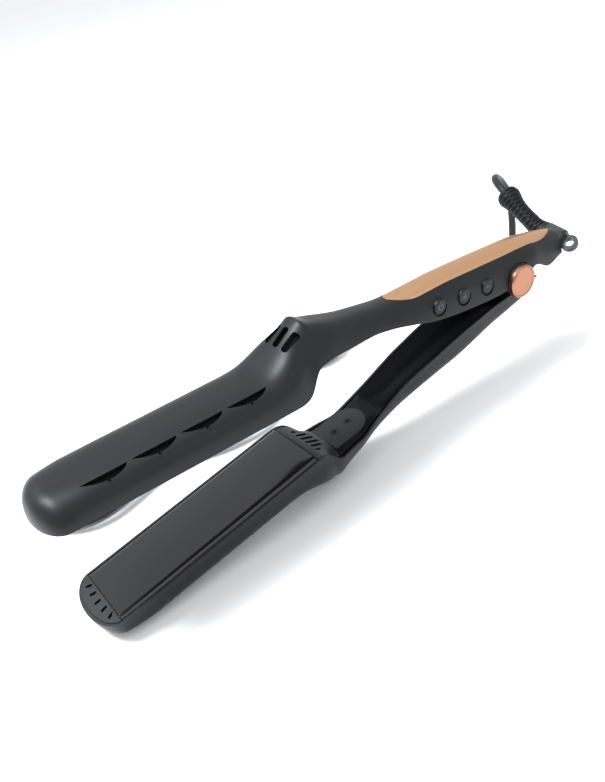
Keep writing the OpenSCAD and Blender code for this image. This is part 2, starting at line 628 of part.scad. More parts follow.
// hank: loops spiral in on the floor, climb a layer along one run, then spiral out on top
hank_at = [-81, 86];
hank_run = 84;
fold_r = 14;
turns_in = 2;
turns_out = 2.5;
waist_draw = 9;
loop_pitch = cord_d + 1.2;
layer_h = cord_d + 0.7;
tie_t = 0.9;
tie_w = 7;
tie_lift = tie_t + 0.3;
function hank_radius(t) = fold_r + loop_pitch * (t < turns_in ? turns_in - t : max(0, t - turns_in - 0.25));
function hank_climb(t) = let (f = max(0, min(1, 4 * (t - turns_in)))) f * f * (3 - 2 * f);
function hank_point(j) = let (k = j % 24, t = j / 24, r = hank_radius(t), back = k < 12, m = k % 12,
    z = cord_r + layer_h * hank_climb(t), a = 90 + 15 * 2 * (m - 6) + (back ? 0 : 180), f = m / 6,
    x = hank_run * (back ? 0.5 - f : f - 0.5), w = (1 + cos(360 * x / hank_run)) / 2)
    m <= 6 ? [hank_at[0] + x, hank_at[1] + (back ? 1 : -1) * (r - waist_draw * w), z + tie_lift * w]
        : [hank_at[0] + (back ? -0.5 : 0.5) * hank_run + r * cos(a), hank_at[1] + r * sin(a), z];
hank_last = 24 * (turns_in + 0.25 + turns_out);
hank_start = hank_point(0);
hank_end = hank_point(hank_last);
hank_path = concat([hank_start, hank_start - [cord_d, 0, 0]], [for (j = [1:hank_last - 1]) hank_point(j)],
    [hank_end - [cord_d, 0, 0], hank_end]);

// route of the free stretches: an arch over to the drop, down, then along the floor
rest = cord_r;
drop_at = [193, 63];
drop_high = 46;
floor_turn = 22;
floor_way = [-0.76, 0.65, 0];
arch_start = boot_end + 4 * boot_way;
drop_top = [drop_at[0], drop_at[1], drop_high];
drop_end = [drop_at[0], drop_at[1], rest + floor_turn];
floor_start = [drop_at[0], drop_at[1], rest] + floor_turn * floor_way;
function bend(a, b, c, d, n) = [for (i = [0:n]) let (t = i / n, s = 1 - t)
    s * s * s * a + 3 * s * s * t * b + 3 * s * t * t * c + t * t * t * d];
run_path = concat([boot_end],
    bend(arch_start, arch_start + 24 * boot_way, drop_top + [0, 0, 22], drop_top, 10),
    bend(drop_end, drop_end - [0, 0, floor_turn * 0.55], floor_start - floor_turn * 0.55 * floor_way,
        floor_start, 6),
    [[162, 89.3, rest], [148, 97.3, rest], [132, 102.6, rest], [112, 105.4, rest], [90, 106, rest],
        [60, 106, rest], [30, 106, rest], [5, 107, rest], [-18, 110.5, rest],
        hank_start + [cord_d, 0, 0], hank_start]);
plug_at = [15, 89.5, 7.6];
tail_path = [hank_end, hank_end + [cord_d, 0, 0], [-27, 57.5, 7.6], [-20.5, 59, 7.6], [-15, 62.5, 7.6],
    [-11, 68, 7.6], [-8.5, 74, 7.6], [-6, 80, 7.6], [-2, 85, 7.6], [4, 88.5, 7.6], plug_at - [cord_d, 0, 0],
    plug_at];

function filled(p, far) = concat([for (i = [0:len(p) - 2]) let (d = p[i + 1] - p[i], n = ceil(norm(d) / far))
    each [for (k = [0:n - 1]) p[i] + d * k / n]], [p[len(p) - 1]]);
function path_length(p, i = 0) = i > len(p) - 2 ? 0 : norm(p[i + 1] - p[i]) + path_length(p, i + 1);
function off_segment(q, a, b) = let (d = b - a, t = max(0, min(1, ((q - a) * d) / (d * d)))) norm(q - a - t * d);
hank_gap = min([for (i = [0:len(hank_path) - 1], j = [0:len(hank_path) - 2]) if (abs(i - j - 0.5) > 3)
    off_segment(hank_path[i], hank_path[j], hank_path[j + 1])]) - cord_d;
echo(cord_length = path_length(run_path) + path_length(hank_path) + path_length(tail_path),
    hank_gap = hank_gap);

module cord_tube(path, sides, up) color("#151617") skin(tube_rings(path, [for (q = path) cord_r], sides, up));
module cord_run() cord_tube(filled(run_path, 3 * cord_d), 10, [1, 0, 0]);
module cord_hank() cord_tube(hank_path, 6, [0, 0, 1]);
module cord_tail() cord_tube(tail_path, 10, [0, 0, 1]);

// band around the waist of the hank
module cord_tie() color("#202123") translate([hank_at[0] - tie_w / 2, hank_at[1], 0])
    rotate([90, 0, 90]) linear_extrude(tie_w) {
        low = -hank_radius(turns_in + turns_out + 0.125) + waist_draw - cord_r - 0.4;
        high = hank_radius(0.125) - waist_draw + cord_r + 0.4;
        top = tie_lift + cord_d + layer_h + 0.3;
        difference() {
            band(low - tie_t, high + tie_t, 0, top + tie_t, 3);
            band(low, high, tie_t, top, 3 - tie_t);
        }
    }
module band(y0, y1, z0, z1, r) {
    translate([y0 + r, z0]) square([y1 - y0 - 2 * r, z1 - z0]);
    translate([y0, z0 + r]) square([y1 - y0, z1 - z0 - 2 * r]);
    for (y = [y0 + r, y1 - r], z = [z0 + r, z1 - r]) translate([y, z]) circle(r = r, $fn = 32);
}

// two-pin plug, lying on its flat side
plug_l = 36;
plug_hw = 11;
plug_hh = 7.5;
pin_pitch = 12.7;
function plug_ring(x, hw, hh) = [for (i = [0:19]) let (a = 18 * i) [x,
    hw * sign(cos(a)) * pow(abs(cos(a)), 0.7), hh * sign(sin(a)) * pow(abs(sin(a)), 0.7)]];
module plug_body() color("#17181a") translate(plug_at) skin([
    plug_ring(0, 3.8, 3.8), plug_ring(4, 4.1, 4.1), plug_ring(10, 4.8, 4.6), plug_ring(13, 6.8, 5.6),
    plug_ring(17, 9.6, 6.8), plug_ring(22, plug_hw, plug_hh), plug_ring(plug_l - 2, plug_hw - 0.4, plug_hh - 0.2),
    plug_ring(plug_l, plug_hw - 1.2, plug_hh - 0.8)]);
module plug_pins() color("#c9b37e") translate(plug_at) for (y = [-1, 1] * pin_pitch / 2)
    translate([plug_l, y - 0.75, -3.15]) cube([17, 1.5, 6.3]);

// ---- lower arm ----

panel_face = lookup(u_crest - 12, grille_table);
module panel_outline(grow) {
    translate([u_crest - 16, 0, 0]) circle(r = 10 + grow, $fn = 64);
    translate([u_crest - 16, -10 - grow]) square([15 + grow, 20 + 2 * grow]);
}
module lower_shell() color("#2e3032") lower_arm() difference() {
    union() {
        difference() {
            outer_form("lower");
            inner_form("lower");
        }
        translate([0, 0, -hinge_rise]) both_sides() y_rod(ear_r, ear_in, ear_out);
        for (u = screw_u) translate([u, 0, panel_face + wall])
            cylinder(r = 3.2, h = crown("lower", u) - 0.8 - panel_face - wall);
    }
    translate([0, 0, -hinge_rise]) y_rod(pin_r + 0.02, -20, 20);
    for (u = screw_u) translate([u, 0, 0]) cylinder(r = screw_r + 0.02, h = panel_face + screw_l + 1);
    // flats where the iron rests
    translate([u_crest, 0, crest_top - sole_cut / cos(lie_angle)]) rotate([0, lie_angle, 0])
        translate([-200, -50, 0]) cube([400, 100, 20]);
}
module lower_frame() color("#1d1e20") lower_arm() frame();
module lower_plate() color("#1a1a1c") lower_arm() plate();
module lower_heater() color("#e8e4da") lower_arm() heater();
module lower_clip() color("#b9bcc0") lower_arm() clip();
module lower_cushions() color("#c8553a") lower_arm() cushions();
module lower_shield() color("#141415") lower_arm() shield();

// inner cover of the lower handle: a raised seat for the panel, then an open channel
channel_end = ear_r + 1.2;
channel_dip_table = [[channel_end, 4.5], [28, 7.5], [60, 8.4], [u_crest - 46, 7.4], [u_crest - 36, 4.5],
    [u_crest - 30, 0]];
module lower_channel() {
    us = concat([channel_end, 17, 22, 28, 38, 50, 60],
        [for (d = [-60, -50, -42, -38, -34, -31, -28, -22, -17, -12, -7, -3.5, -1.5, 0.4]) u_crest + d]);
    color("#26282a") lower_arm() difference() {
        skin([for (u = us) let (low = edge("lower", u), back = u < u_crest - 28)
            strip_ring(u, room("lower", u, low + wall), low + 0.1,
                back ? low + lookup(u, channel_dip_table) : min(low, panel_face + max(0, u_crest - 22 - u) * 0.05),
                wall, back ? 2.6 : 4, 12)]);
        translate([0, 0, -5]) linear_extrude(40) panel_outline(0.12);
    }
}
module neck_panel() color("#202224") lower_arm() difference() {
    translate([0, 0, panel_face]) linear_extrude(wall) panel_outline(0);
    screw_sinks(panel_face);
}
module panel_screws() color("#0f0f10") lower_arm() screws(panel_face);

module hinge_pin() color("#9aa0a6") lower_arm() translate([0, 0, -hinge_rise])
    y_rod(pin_r, -ear_out, ear_out);
module cap() {
    y_rod(cap_d / 2, ear_out, ear_out + cap_t - 0.7);
    translate([0, ear_out + cap_t - 0.7, 0]) rotate([-90, 0, 0])
        cylinder(r1 = cap_d / 2, r2 = cap_d / 2 - 0.9, h = 0.7);
}
module near_cap() color("#e0a58c") lower_arm() translate([0, 0, -hinge_rise]) mirror([0, 1, 0]) cap();
module far_cap() color("#e0a58c") lower_arm() translate([0, 0, -hinge_rise]) cap();

upper_shell();
upper_frame();
upper_cover();
upper_plate();
upper_heater();
upper_clip();
upper_cushions();
upper_shield();
upper_screws();
handle_trim();
control_board();
switches();
power_button();
plus_button();
minus_button();
hinge_spring();
swivel_collar();
lower_shell();
lower_frame();
lower_channel();
neck_panel();
panel_screws();
lower_plate();
lower_heater();
lower_clip();
lower_cushions();
lower_shield();
hinge_pin();
near_cap();
far_cap();
swivel_barrel();
strain_relief();
cord_run();
cord_hank();
cord_tail();
cord_tie();
plug_body();
plug_pins();
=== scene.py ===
"""Flat iron with wide plates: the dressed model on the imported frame.

Lengths of the object are millimetres. The camera, materials, floor and lights are in metres, like the row
frame. In an arm's own frame u runs from the hinge pin to the tip, y to the side and z away from the other
arm. upper() and lower() bring such a point to the row frame.
"""
import math

import bmesh
import bpy
from mathutils import Matrix, Vector


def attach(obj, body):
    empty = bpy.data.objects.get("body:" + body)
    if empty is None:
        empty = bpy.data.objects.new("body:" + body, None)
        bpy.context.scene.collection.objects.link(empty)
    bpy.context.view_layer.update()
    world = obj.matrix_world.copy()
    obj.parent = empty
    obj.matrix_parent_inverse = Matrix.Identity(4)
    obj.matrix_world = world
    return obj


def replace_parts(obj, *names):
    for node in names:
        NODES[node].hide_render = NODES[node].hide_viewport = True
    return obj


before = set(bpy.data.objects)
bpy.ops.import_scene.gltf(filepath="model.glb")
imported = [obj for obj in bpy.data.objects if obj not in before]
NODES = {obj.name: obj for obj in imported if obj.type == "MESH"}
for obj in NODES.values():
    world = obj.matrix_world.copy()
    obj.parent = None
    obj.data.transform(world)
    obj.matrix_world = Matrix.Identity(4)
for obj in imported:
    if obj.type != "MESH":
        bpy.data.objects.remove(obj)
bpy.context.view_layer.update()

MM = 0.001
WELD = 2e-6  # metres: points nearer than this become one
scene = bpy.context.scene
sin, cos, pi, rad = math.sin, math.cos, math.pi, math.radians

# ------------------------------ camera, fitted to the photo
EYE = Vector((-0.17986, -0.25561, 0.25453))
PAN, DOWN, ROLL = rad(59.3776), rad(33.9798), rad(-12.1987)  # from x, below level, and about the view

camera_data = bpy.data.cameras.new("view")
camera_data.lens = 35.27
camera_data.sensor_width = 36.0
camera_data.clip_start = 0.01
camera_data.clip_end = 20.0
camera = bpy.data.objects.new("view", camera_data)
scene.collection.objects.link(camera)
turn_aside, turn_down = Matrix.Rotation(PAN - pi / 2, 4, "Z"), Matrix.Rotation(pi / 2 - DOWN, 4, "X")
camera.matrix_world = Matrix.Translation(EYE) @ turn_aside @ turn_down @ Matrix.Rotation(ROLL, 4, "Z")
scene.camera = camera
scene.view_settings.view_transform = "Standard"


# ------------------------------ materials
def srgb(r, g, b):
    """A colour given as it looks on a screen."""
    linear = [((c / 255 + 0.055) / 1.055) ** 2.4 if c > 10 else c / 255 / 12.92 for c in (r, g, b)]
    return (*linear, 1.0)


def scaled(colour, factor, lift=0.0):
    """The colour, made lighter or darker."""
    return tuple(min(1, c * factor + lift) for c in colour[:3]) + (1,)


def noise(tree, mapping, scale, detail):
    """A noise texture's value, in the object's own space."""
    node = tree.nodes.new("ShaderNodeTexNoise")
    node.inputs["Scale"].default_value = scale
    node.inputs["Detail"].default_value = detail
    tree.links.new(mapping.outputs[0], node.inputs["Vector"])
    return node.outputs["Fac"]


def mapped(tree, value, source, target):
    """The value, stretched from one range to another."""
    node = tree.nodes.new("ShaderNodeMapRange")
    node.inputs["From Min"].default_value, node.inputs["From Max"].default_value = source
    node.inputs["To Min"].default_value, node.inputs["To Max"].default_value = target
    tree.links.new(value, node.inputs["Value"])
    return node.outputs[0]


def lighter_edges(tree, base, colour, wear):
    """The base colour, mixed with a lighter one where the surface is pointed."""
    geometry = tree.nodes.new("ShaderNodeNewGeometry")
    mix = tree.nodes.new("ShaderNodeMix")
    mix.data_type = "RGBA"
    mix.inputs["B"].default_value = scaled(colour, 2.2, 0.01)
    tree.links.new(mapped(tree, geometry.outputs["Pointiness"], (0.52, 0.6), (0, wear)), mix.inputs["Factor"])
    tree.links.new(base, mix.inputs["A"])
    return mix.outputs["Result"]


def material(name, colour, rough=0.5, metal=0.0, spec=0.5, spread=0.12, scale=60.0, rough_spread=0.06,
             bump=0.0, depth=0.0002, grain=900.0, stretch=(1, 1, 1), sheen=0.0, wear=0.0):
    """Broad noise varies the colour and gloss, and fine noise is the surface's grain."""
    m = bpy.data.materials.new(name)
    m.use_nodes = True
    tree = m.node_tree
    tree.nodes.clear()
    new, link = tree.nodes.new, tree.links.new
    out = new("ShaderNodeOutputMaterial")
    shader = new("ShaderNodeBsdfPrincipled")
    link(shader.outputs[0], out.inputs[0])
    shader.inputs["Metallic"].default_value = metal
    shader.inputs["IOR"].default_value = 1.5
    shader.inputs["Specular IOR Level"].default_value = spec
    shader.inputs["Sheen Weight"].default_value = sheen
    shader.inputs["Sheen Roughness"].default_value = 0.4
    coordinates = new("ShaderNodeTexCoord")
    mapping = new("ShaderNodeMapping")
    mapping.inputs["Scale"].default_value = stretch
    link(coordinates.outputs["Object"], mapping.inputs[0])
    broad = noise(tree, mapping, scale, 3.0)
    ramp = new("ShaderNodeValToRGB")
    dark, light = ramp.color_ramp.elements
    dark.position, light.position = 0.3, 0.7
    dark.color, light.color = scaled(colour, 1 - spread), scaled(colour, 1 + spread)
    link(broad, ramp.inputs[0])
    base = ramp.outputs[0]
    if wear:
        base = lighter_edges(tree, base, colour, wear)
    link(base, shader.inputs["Base Color"])
    roughness = mapped(tree, broad, (0.25, 0.75), (max(0.02, rough - rough_spread), rough + rough_spread))
    link(roughness, shader.inputs["Roughness"])
    if bump:
        bumps = new("ShaderNodeBump")
        bumps.inputs["Strength"].default_value = bump
        bumps.inputs["Distance"].default_value = depth
        link(noise(tree, mapping, grain, 2.0), bumps.inputs["Height"])
        link(bumps.outputs[0], shader.inputs["Normal"])
    return m


M = {
    "shell": material("soft_touch", srgb(21, 22, 24), 0.4, spec=0.25, spread=0.07, sheen=0.03, wear=0.25,
                      bump=0.25, depth=0.00006, grain=2600),
    "frame": material("moulded_black", srgb(26, 27, 28), 0.4, spec=0.3, spread=0.08, wear=0.2,
                      bump=0.3, depth=0.00008, grain=2200),
    # a darker plastic than the mouldings, darkened further as painted shade for the shadowed channel inside
    # the lower arm
    "cover": material("inner_cover", srgb(10, 10, 12), 0.45, spec=0.1, spread=0.08, wear=0.15,
                      bump=0.3, depth=0.00008, grain=2000),
    "plate": material("ceramic_plate", srgb(26, 26, 27), 0.1, spec=0.6, spread=0.1, scale=25,
                      rough_spread=0.02, bump=0.04, depth=0.00002, grain=1500, stretch=(0.35, 1, 1)),
    "trim": material("champagne_metal", srgb(202, 158, 122), 0.36, 1.0, spread=0.05, scale=40,
                     rough_spread=0.04, bump=0.12, depth=0.00003, grain=1800, stretch=(0.06, 1, 1)),
    "cap": material("rose_metal", srgb(176, 124, 99), 0.28, 1.0, spread=0.05,
                    bump=0.08, depth=0.00003, grain=1500),
    "button": material("button_plastic", srgb(19, 20, 22), 0.42, spec=0.28, spread=0.08,
                       bump=0.15, depth=0.00005, grain=2400),
    "mark": material("key_mark", srgb(78, 82, 86), 0.5, spread=0.05),
    "boot": material("ribbed_rubber", srgb(13, 13, 14), 0.5, spec=0.25, bump=0.35, depth=0.0001, grain=1600),
    "cord": material("cord_sheath", srgb(18, 18, 20), 0.42, spec=0.35, spread=0.1,
                     bump=0.2, depth=0.00008, grain=1300),
    "swivel": material("swivel_plastic", srgb(36, 41, 40), 0.3, spread=0.08,
                       bump=0.12, depth=0.00005, grain=1800),
    "steel": material("drawn_steel", srgb(176, 178, 182), 0.3, 1.0, spread=0.06, stretch=(1, 0.2, 1)),
    "screw": material("blackened_screw", srgb(44, 44, 46), 0.36, 0.9, spread=0.15, scale=300),
    "pin": material("prong_brass", srgb(212, 184, 118), 0.28, 1.0, spread=0.06, scale=200),
    "heater": material("alumina_bar", srgb(226, 220, 208), 0.7, spread=0.05, bump=0.2, grain=1200),
    "clip": material("spring_steel", srgb(168, 170, 172), 0.38, 1.0, spread=0.08),
    "cushion": material("red_silicone", srgb(186, 80, 58), 0.6, spread=0.08, bump=0.2),
    "shield": material("heat_sheet", srgb(11, 11, 12), 0.8, spec=0.15, spread=0.1, bump=0.2, grain=700),
    "board": material("circuit_board", srgb(36, 92, 58), 0.42, spread=0.15, scale=420, bump=0.1),
    "switch": material("switch_body", srgb(54, 57, 62), 0.45, spread=0.1),
}

# ------------------------------ the arms' frames, as in the source
HINGE_X, HINGE_H = 110.033, 53.9174  # the hinge pin's place
LOWER_TILT = rad(8.76717)  # the lower arm lies nose down
UPPER_TILT = rad(2.73283)  # the upper arm stands nose up
HINGE_RISE = 1.0  # the pin sits this far on the upper arm's side of the plane where the arms meet


def upper(p):
    """A point of the upper arm, in the row frame."""
    u, y, z = p
    z -= HINGE_RISE
    along = HINGE_X - u * cos(UPPER_TILT) + z * sin(UPPER_TILT)
    return Vector((along, y, HINGE_H + u * sin(UPPER_TILT) + z * cos(UPPER_TILT))) * MM


def lower(p):
    """A point of the lower arm, in the row frame. None goes below the floor."""
    u, y, z = p
    z += HINGE_RISE
    along = HINGE_X - u * cos(LOWER_TILT) + z * sin(LOWER_TILT)
    return Vector((along, y, max(0.0, HINGE_H - u * sin(LOWER_TILT) - z * cos(LOWER_TILT)))) * MM


# ------------------------------ building pieces
def smooth(o, sharp):
    """Smooth shading between sharp edges, with large flat faces kept flat."""
    o.data.polygons.foreach_set("use_smooth", [True] * len(o.data.polygons))
    o.data.set_sharp_from_angle(angle=rad(sharp))
    if not o.modifiers:
        normals = o.modifiers.new("normals", "WEIGHTED_NORMAL")
        normals.keep_sharp = True
        normals.weight = 60


def piece(name, verts, faces, mat, body, sharp=30.0, slot=None, place=None):
    """A mesh object that rides on a body. Its points are in the row frame, or place brings them there."""
    me = bpy.data.meshes.new(name)
    me.from_pydata([tuple(place(v)) if place else tuple(v) for v in verts], [], faces)
    bm = bmesh.new()
    bm.from_mesh(me)
    bmesh.ops.recalc_face_normals(bm, faces=bm.faces)
    bm.to_mesh(me)
    bm.free()
    o = bpy.data.objects.new(name, me)
    scene.collection.objects.link(o)
    me.materials.append(M[mat])
    smooth(o, sharp)
    if body:
        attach(o, body)
    return o


def applied(o):
    """Applies the object's modifiers, and takes out the slivers that they leave."""
    bpy.context.view_layer.update()
    new = bpy.data.meshes.new_from_object(o.evaluated_get(bpy.context.evaluated_depsgraph_get()))
    bm = bmesh.new()
    bm.from_mesh(new)
    bmesh.ops.dissolve_degenerate(bm, dist=WELD, edges=bm.edges)
    bm.to_mesh(new)
    bm.free()
    o.modifiers.clear()
    o.data = new


def cut(o, verts, faces, sharp, place):
    """Cuts closed shapes that don't touch one another out of a piece."""
    cutter = piece("cutter", verts, faces, "shell", None, place=place)
    cutter.modifiers.clear()
    o.modifiers.clear()
    difference = o.modifiers.new("cut", "BOOLEAN")
    difference.operation = "DIFFERENCE"
    difference.solver = "EXACT"
    difference.object = cutter
    applied(o)
    bpy.data.objects.remove(cutter)
    smooth(o, sharp)


def add(shape, verts, faces):
    """Adds a form to a shape, which is a list of points and a list of faces."""
    n = len(shape[0])
    shape[0].extend(verts)
    shape[1].extend([tuple(i + n for i in f) for f in faces])


def skin(rings):
    """A closed form over rings that have one number of points."""
    n, m = len(rings[0]), len(rings)
    verts = [p for ring in rings for p in ring]
    faces = [(a * n + i, a * n + (i + 1) % n, (a + 1) * n + (i + 1) % n, (a + 1) * n + i)
             for a in range(m - 1) for i in range(n)]
    faces += [tuple(range(n))[::-1], tuple((m - 1) * n + i for i in range(n))]
    return verts, faces


def prism(outline, z0, z1, to):
    """An outline drawn out from z0 to z1, with each point sent to its place."""
    n = len(outline)
    verts = [to((x, y, z)) for z in (z0, z1) for x, y in outline]
    ends = [tuple(range(n))[::-1], tuple(range(n, 2 * n))]
    return verts, ends + [(i, (i + 1) % n, n + (i + 1) % n, n + i) for i in range(n)]


def turned(profile, to, sides=64):
    """A lathe form about Y: profile is (radius, y) from end to end."""
    turns = [2 * pi * k / sides for k in range(sides)]
    return skin([[to((r * cos(a), y, r * sin(a))) for a in turns] for r, y in profile])


def rounded(l, w, r, n=6):
    """The outline of a rectangle with round corners."""
    corners = ((1, 1, 0), (-1, 1, 90), (-1, -1, 180), (1, -1, 270))
    turns = [(sx, sy, rad(start + 90 * k / n)) for sx, sy, start in corners for k in range(n + 1)]
    return [(sx * (l / 2 - r) + r * cos(a), sy * (w / 2 - r) + r * sin(a)) for sx, sy, a in turns]


def tilted(u, y, z, about_x=0.0, about_y=0.0):
    """Turns a form and then moves it to a place in an arm's frame."""
    turn = Matrix.Rotation(about_x, 3, "X") @ Matrix.Rotation(about_y, 3, "Y")
    return lambda p: tuple(turn @ Vector(p) + Vector((u, y, z)))


def unfolded(bm):
    """Fills a flat end afresh where its triangles lie folded on one another."""
    def folds():
        return [e for e in bm.edges if len(e.link_faces) == 2 and e.calc_face_angle(0) > rad(179)]
    for _ in range(len(folds())):
        left = folds()
        if not left:
            return
        flat, todo = {}, list(left[0].link_faces)  # a dict keeps its order, so that each run fills alike
        normal = todo[0].normal.copy()
        while todo:
            f = todo.pop()
            if f not in flat and (abs(f.normal.dot(normal)) > 0.99999 or f.calc_area() < 1e-12):
                flat[f] = True
                todo += [g for e in f.edges for g in e.link_faces]
        rim = [e for f in flat for e in f.edges if sum(g in flat for g in e.link_faces) == 1]
        bmesh.ops.delete(bm, geom=list(flat), context="FACES")
        bmesh.ops.triangle_fill(bm, use_beauty=True, use_dissolve=False, edges=rim)
    bmesh.ops.recalc_face_normals(bm, faces=bm.faces)


def dressed(node, mat, body, bevel, slot):
    """A finished copy of a CAD node: welded, smoothed and with softened edges."""
    me = NODES[node].data.copy()
    me.materials.clear()
    o = bpy.data.objects.new("d_" + node, me)
    scene.collection.objects.link(o)
    bm = bmesh.new()
    bm.from_mesh(me)
    bmesh.ops.remove_doubles(bm, verts=bm.verts, dist=WELD)
    unfolded(bm)
    bmesh.ops.dissolve_limit(bm, angle_limit=rad(0.4), verts=bm.verts, edges=bm.edges)
    bm.to_mesh(me)
    bm.free()
    me.materials.append(M[mat])
    if bevel:
        soft_edge = o.modifiers.new("bevel", "BEVEL")
        soft_edge.width = bevel * MM
        soft_edge.segments = 2
        soft_edge.limit_method = "ANGLE"
        soft_edge.angle_limit = rad(50)
        soft_edge.use_clamp_overlap = True
        applied(o)
    smooth(o, 34)
    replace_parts(o, node)
    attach(o, body)
    return o


# ------------------------------ cord: the source's route
CORD_D = 4.6
ON_FLOOR = CORD_D / 2  # height of the centreline where the cord lies on the floor
ON_CORD = 7.6  # and where it lies on a turn below
BOOT_END, BOOT_WAY = Vector((158.298, 36.8396, 75.0902)), Vector((0.266843, 0.893317, 0.361635))
DROP = Vector((193, 63, 0))  # where the cord comes down
DROP_TOP = 46.0
FLOOR_BEND = 22.0
FLOOR_WAY = Vector((-0.76, 0.65, 0))
HANK = Vector((-81.0, 86.0, 0))
HANK_L = 84.0  # the hank's straight stretches
HANK_R = 14.0  # its inmost turn
HANK_WAIST = 9.0  # how far the tie draws it in
TURN_POINTS = 24  # two straight stretches of 6 steps and two half circles of 6
HANK_POINTS = 115
WAY_TO_HANK = ((162, 89.3), (148, 97.3), (132, 102.6), (112, 105.4), (90, 106), (60, 106), (30, 106),
               (5, 107), (-18, 110.5))
WAY_TO_PLUG = ((-27, 57.5), (-20.5, 59), (-15, 62.5), (-11, 68), (-8.5, 74), (-6, 80), (-2, 85), (4, 88.5),
               (15, 89.5))


def bend(a, b, c, d, n):
    """Points of a Bezier stretch."""
    return [(1 - t) ** 3 * a + 3 * (1 - t) ** 2 * t * b + 3 * (1 - t) * t * t * c + t ** 3 * d
            for t in (i / n for i in range(n + 1))]


def hank_radius(turn):
    """Two turns inward on the floor, then outward again on top of them."""
    return HANK_R + (CORD_D + 1.2) * (2 - turn if turn < 2 else max(0, turn - 2.25))


def hank_point(j):
    """The hank's loops: two straight stretches and two half circles a turn, drawn in at the tie."""
    k, turn = j % TURN_POINTS, j / TURN_POINTS
    back, m, r = k < 12, k % 12, hank_radius(turn)
    climb = max(0, min(1, 4 * (turn - 2)))
    z = ON_FLOOR + (ON_CORD - ON_FLOOR) * climb * climb * (3 - 2 * climb)
    if m <= 6:
        x = HANK_L * (0.5 - m / 6 if back else m / 6 - 0.5)
        near_tie = (1 + cos(2 * pi * x / HANK_L)) / 2
        y = (1 if back else -1) * (r - HANK_WAIST * near_tie)
        return HANK + Vector((x, y, z + 1.2 * near_tie))
    a = rad(90 + 30 * (m - 6) + (0 if back else 180))
    return HANK + Vector(((-0.5 if back else 0.5) * HANK_L + r * cos(a), r * sin(a), z))


def cord_route():
    """From the boot over an arch to the floor, into the hank, and on to the plug."""
    arch_start, drop_top = BOOT_END + 4 * BOOT_WAY, DROP + Vector((0, 0, DROP_TOP))
    pull = 0.55 * FLOOR_BEND
    drop_end, floor_start = DROP + Vector((0, 0, ON_FLOOR + FLOOR_BEND)), DROP + FLOOR_BEND * FLOOR_WAY
    floor_start.z = ON_FLOOR
    points = [BOOT_END]
    points += bend(arch_start, arch_start + 24 * BOOT_WAY, drop_top + Vector((0, 0, 22)), drop_top, 10)
    points += bend(drop_end, drop_end - Vector((0, 0, pull)), floor_start - pull * FLOOR_WAY, floor_start, 6)
    points += [Vector((x, y, ON_FLOOR)) for x, y in WAY_TO_HANK]
    points += [hank_point(j) for j in range(HANK_POINTS)]
    return points + [Vector((x, y, ON_CORD)) for x, y in WAY_TO_PLUG]


route = cord_route()
curve = bpy.data.curves.new("mains_cord", "CURVE")
curve.dimensions = "3D"
curve.bevel_depth = 1.0  # a metre, times each point's radius
curve.bevel_resolution = 5
curve.resolution_u = 5
curve.use_fill_caps = True
strand = curve.splines.new("BEZIER")
strand.bezier_points.add(len(route) - 1)
for b, p in zip(strand.bezier_points, route):
    b.co = p * MM
    b.radius = CORD_D / 2 * MM
    b.handle_left_type = b.handle_right_type = "AUTO"
cord = bpy.data.objects.new("mains_cord", curve)
scene.collection.objects.link(cord)
curve.materials.append(M["cord"])
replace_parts(cord, "cord_run", "cord_hank", "cord_tail")
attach(cord, "upper_arm")
bpy.context.view_layer.update()
# the handles are levelled, so the strand stays above the floor between its points
for b, p in zip(strand.bezier_points, route):
    ends = [h.copy() for h in (b.handle_left, b.handle_right)]
    b.handle_left_type = b.handle_right_type = "FREE"
    for h in ends:
        h.z = b.co.z if p.z < ON_FLOOR + 0.01 else max(h.z, ON_FLOOR * MM)
    b.handle_left, b.handle_right = ends

# ------------------------------ plug: waisted, with finger ridges and two prongs
PLUG = Vector((15, 89.5, ON_CORD))
PLUG_NECK = [(0, 3.5, 3.5), (0.4, 3.8, 3.8), (4, 4.1, 4.1), (7, 4.4, 4.3), (10, 4.8, 4.6), (11.6, 5.6, 5.0),
             (13, 6.8, 5.6), (15, 8.3, 6.3), (17, 9.6, 6.8), (19.5, 10.5, 7.2), (22, 11, 7.5)]
PLUG_GROOVE = ((0.25, 0), (0.45, 0.45), (0.85, 0.45), (1.05, 0))  # along the plug, and into it
PLUG_GROOVES = [(22 + 1.2 * k + x, 10.95 - 0.03 * k - deep, 7.46 - 0.015 * k - deep)
                for k in range(8) for x, deep in PLUG_GROOVE]
PLUG_END = [(33.5, 10.6, 7.3), (34.6, 10.4, 7.2), (35.5, 10.0, 6.9), (36, 9.6, 6.5)]


def plug_ring(x, half_w, half_h, sides=44):
    """A section between an oval and a rectangle."""
    def squarish(v):
        return math.copysign(abs(v) ** 0.7, v)
    turns = [2 * pi * i / sides for i in range(sides)]
    return [(PLUG + Vector((x, half_w * squarish(cos(a)), half_h * squarish(sin(a))))) * MM for a in turns]


plug_rings = [plug_ring(*station) for station in PLUG_NECK + PLUG_GROOVES + PLUG_END]
plug = piece("plug_moulding", *skin(plug_rings), "cord", "upper_arm", 28, "plug")
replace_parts(plug, "plug_body")
prongs = dressed("plug_pins", "pin", "upper_arm", 0.3, "prong")
tie = dressed("cord_tie", "boot", "upper_arm", 0.2, "tie")

# ------------------------------ the arms' sizes and tables, as in the source
PLATE_L, PLATE_W = 110.0, 35.0
SIDE, WALL, EDGE = 1.2, 1.6, 1.2  # side wall, top wall, and height of the rim
TIP, TAIL, REAR = 10.0, 39.0, 151.0
FRONT, CREST = REAR + PLATE_L, REAR - 14
BARREL_HW = PLATE_W / 2 + 0.35 + SIDE
HANDLE_HW, NECK_HW = 13.0, 11.25
LOWER_END_R = 15.8  # the lower arm's round rear end, about the pin
